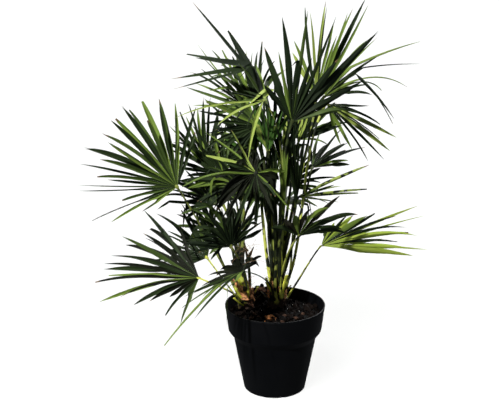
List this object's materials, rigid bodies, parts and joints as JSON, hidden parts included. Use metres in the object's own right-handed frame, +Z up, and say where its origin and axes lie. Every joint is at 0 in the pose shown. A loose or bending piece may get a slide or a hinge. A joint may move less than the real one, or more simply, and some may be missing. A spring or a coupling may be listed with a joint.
{
  "type": "potted windmill palm",
  "caption": "Young fan palm clump: two short fibrous stems of long stalks with fan leaves, in a round nursery pot of soil.",
  "frame": {"origin": "centre of the pot's flat underside, on the floor", "axes": "+Z up along the pot's axis; the side that the picture shows faces -Y, so +X is the picture's right"},
  "size_m": [0.9763, 0.8438, 1.1527],
  "materials": {
    "pot_plastic": "black matte moulded plastic",
    "potting_soil": "dark moist bark compost",
    "stem_fibre": "red-brown matted leaf-base fibre",
    "leaf_stalk": "smooth green leaf stalk, yellow-green at the foot",
    "palm_leaf": "satin dark green palm leaf"
  },
  "bodies": {
    "root": {"fan_left_01": "palm_leaf", "fan_left_02": "palm_leaf", "fan_left_03": "palm_leaf", "fan_left_04": "palm_leaf", "fan_left_05": "palm_leaf", "fan_left_06": "palm_leaf", "fan_left_07": "palm_leaf", "fan_left_08": "palm_leaf", "fan_left_09": "palm_leaf", "fan_right_01": "palm_leaf", "fan_right_02": "palm_leaf", "fan_right_03": "palm_leaf", "fan_right_04": "palm_leaf", "fan_right_05": "palm_leaf", "fan_right_06": "palm_leaf", "fan_right_07": "palm_leaf", "fan_right_08": "palm_leaf", "fan_right_09": "palm_leaf", "fan_right_10": "palm_leaf", "fan_right_11": "palm_leaf", "fan_right_12": "palm_leaf", "fan_right_13": "palm_leaf", "fan_right_14": "palm_leaf", "fan_right_15": "palm_leaf", "fan_right_16": "palm_leaf", "fan_right_17": "palm_leaf", "fan_right_18": "palm_leaf", "pot": "pot_plastic", "soil": "potting_soil", "stalk_left_01": "leaf_stalk", "stalk_left_02": "leaf_stalk", "stalk_left_03": "leaf_stalk", "stalk_left_04": "leaf_stalk", "stalk_left_05": "leaf_stalk", "stalk_left_06": "leaf_stalk", "stalk_left_07": "leaf_stalk", "stalk_left_08": "leaf_stalk", "stalk_left_09": "leaf_stalk", "stalk_right_01": "leaf_stalk", "stalk_right_02": "leaf_stalk", "stalk_right_03": "leaf_stalk", "stalk_right_04": "leaf_stalk", "stalk_right_05": "leaf_stalk", "stalk_right_06": "leaf_stalk", "stalk_right_07": "leaf_stalk", "stalk_right_08": "leaf_stalk", "stalk_right_09": "leaf_stalk", "stalk_right_10": "leaf_stalk", "stalk_right_11": "leaf_stalk", "stalk_right_12": "leaf_stalk", "stalk_right_13": "leaf_stalk", "stalk_right_14": "leaf_stalk", "stalk_right_15": "leaf_stalk", "stalk_right_16": "leaf_stalk", "stalk_right_17": "leaf_stalk", "stalk_right_18": "leaf_stalk", "stem_left": "stem_fibre", "stem_right": "stem_fibre"}
  },
  "joints": []
}
